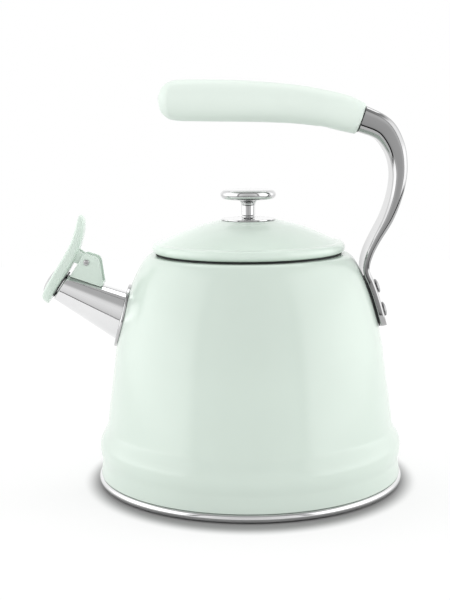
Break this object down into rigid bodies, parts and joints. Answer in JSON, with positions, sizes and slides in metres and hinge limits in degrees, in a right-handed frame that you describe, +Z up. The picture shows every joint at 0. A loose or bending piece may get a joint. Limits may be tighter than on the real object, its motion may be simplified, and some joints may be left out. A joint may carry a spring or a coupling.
{
  "type": "stovetop whistling kettle",
  "caption": "Bell-shaped stovetop kettle with a lift-off lid, a spout closed by a sprung whistle flap, and a riveted arm that carries a grip over the lid.",
  "frame": {"origin": "centre of the flat underside of the base, on the surface that the kettle stands on", "axes": "+Z up along the body's turning axis; the spout points to -X and the handle arm stands at +X; the kettle is symmetric about the XZ plane"},
  "size_m": [0.2242, 0.19, 0.2474],
  "materials": {
    "mint_paint": "gloss pastel green paint",
    "mint_grip": "semi-gloss pastel green moulding",
    "polished_steel": "mirror polished stainless steel",
    "satin_steel": "satin stainless steel",
    "aluminium": "plain rolled sheet",
    "black_silicone": "matt"
  },
  "bodies": {
    "kettle": {"body_shell": "mint_paint", "base_pan": "polished_steel", "heat_disc": "aluminium", "base_cap": "satin_steel", "spout_tube": "polished_steel", "spout_flange": "polished_steel", "whistle_bracket": "mint_paint", "hinge_pin": "polished_steel", "torsion_spring": "satin_steel", "handle_arm": "polished_steel", "arm_gasket": "black_silicone", "backing_plate": "satin_steel", "rivet_upper": "polished_steel", "rivet_lower": "polished_steel", "grip": "mint_grip", "grip_screw": "satin_steel"},
    "lid": {"lid_shell": "mint_paint", "lid_skirt": "satin_steel", "lid_gasket": "black_silicone", "knob_head": "polished_steel", "knob_post": "polished_steel", "knob_collar": "polished_steel", "knob_escutcheon": "polished_steel", "knob_washer": "satin_steel", "knob_screw": "satin_steel"},
    "whistle": {"whistle_flap": "mint_paint", "whistle_disc_outer": "polished_steel", "whistle_disc_inner": "satin_steel", "mouth_seal": "black_silicone"}
  },
  "joints": [
    {"name": "lid_lift", "type": "slide", "parent": "kettle", "child": "lid", "axis": [0, 0, 1], "range_m": [0, 0.038]},
    {"name": "flap_hinge", "type": "hinge", "parent": "kettle", "child": "whistle", "pos_m": [-0.0999, 0, 0.137], "axis": [0, 1, 0], "range_deg": [0, 55], "stiffness_Nm_per_rad": 0.03, "springref_deg": -34.38, "deforming": ["torsion_spring"]}
  ]
}
